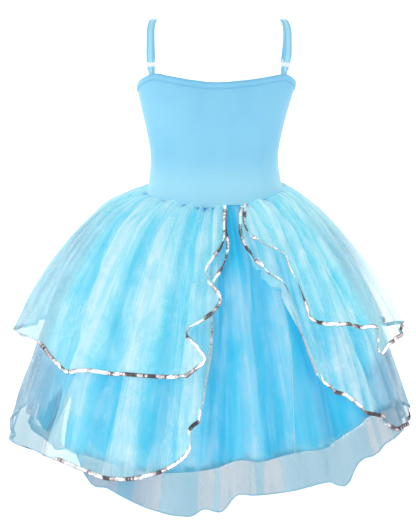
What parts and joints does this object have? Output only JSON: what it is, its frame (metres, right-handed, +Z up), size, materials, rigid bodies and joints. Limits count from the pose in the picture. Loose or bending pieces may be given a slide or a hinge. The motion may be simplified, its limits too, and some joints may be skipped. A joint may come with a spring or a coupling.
{
  "type": "princess costume",
  "caption": "Child's sleeveless costume: close bodice on shoulder straps, full blue skirt in gathered sheer layers that open at the back, edged with silver braid.",
  "frame": {"origin": "midway between the tops of the two shoulder straps, level with their undersides, where the wearer's shoulders hold it up", "axes": "+Z up, -Y the back, where the two tiers open (the side in the picture), +Y the front, +X the wearer's right, which is to the right in the picture"},
  "size_m": [0.593, 0.529, 0.6471],
  "materials": {
    "light_blue_stretch_cloth": "smooth stretch knit with a slight sheen",
    "bright_blue_cloth": "opaque smooth woven lining cloth",
    "sheer_blue_cloth": "crisp sheer organza",
    "silver_braid": "flat braid covered in small silver sequins",
    "clear_plastic": "clear moulded plastic"
  },
  "bodies": {
    "root": {"bodice_back": "light_blue_stretch_cloth", "bodice_front": "light_blue_stretch_cloth", "neck_binding_back": "light_blue_stretch_cloth", "neck_binding_front": "light_blue_stretch_cloth", "strap_left": "light_blue_stretch_cloth", "strap_right": "light_blue_stretch_cloth", "strap_tab_left": "light_blue_stretch_cloth", "strap_tab_right": "light_blue_stretch_cloth", "slider_left": "clear_plastic", "slider_right": "clear_plastic", "underskirt": "bright_blue_cloth", "long_skirt": "sheer_blue_cloth", "lower_tier": "sheer_blue_cloth", "lower_tier_braid": "silver_braid", "upper_tier": "sheer_blue_cloth", "upper_tier_braid": "silver_braid"}
  },
  "joints": []
}
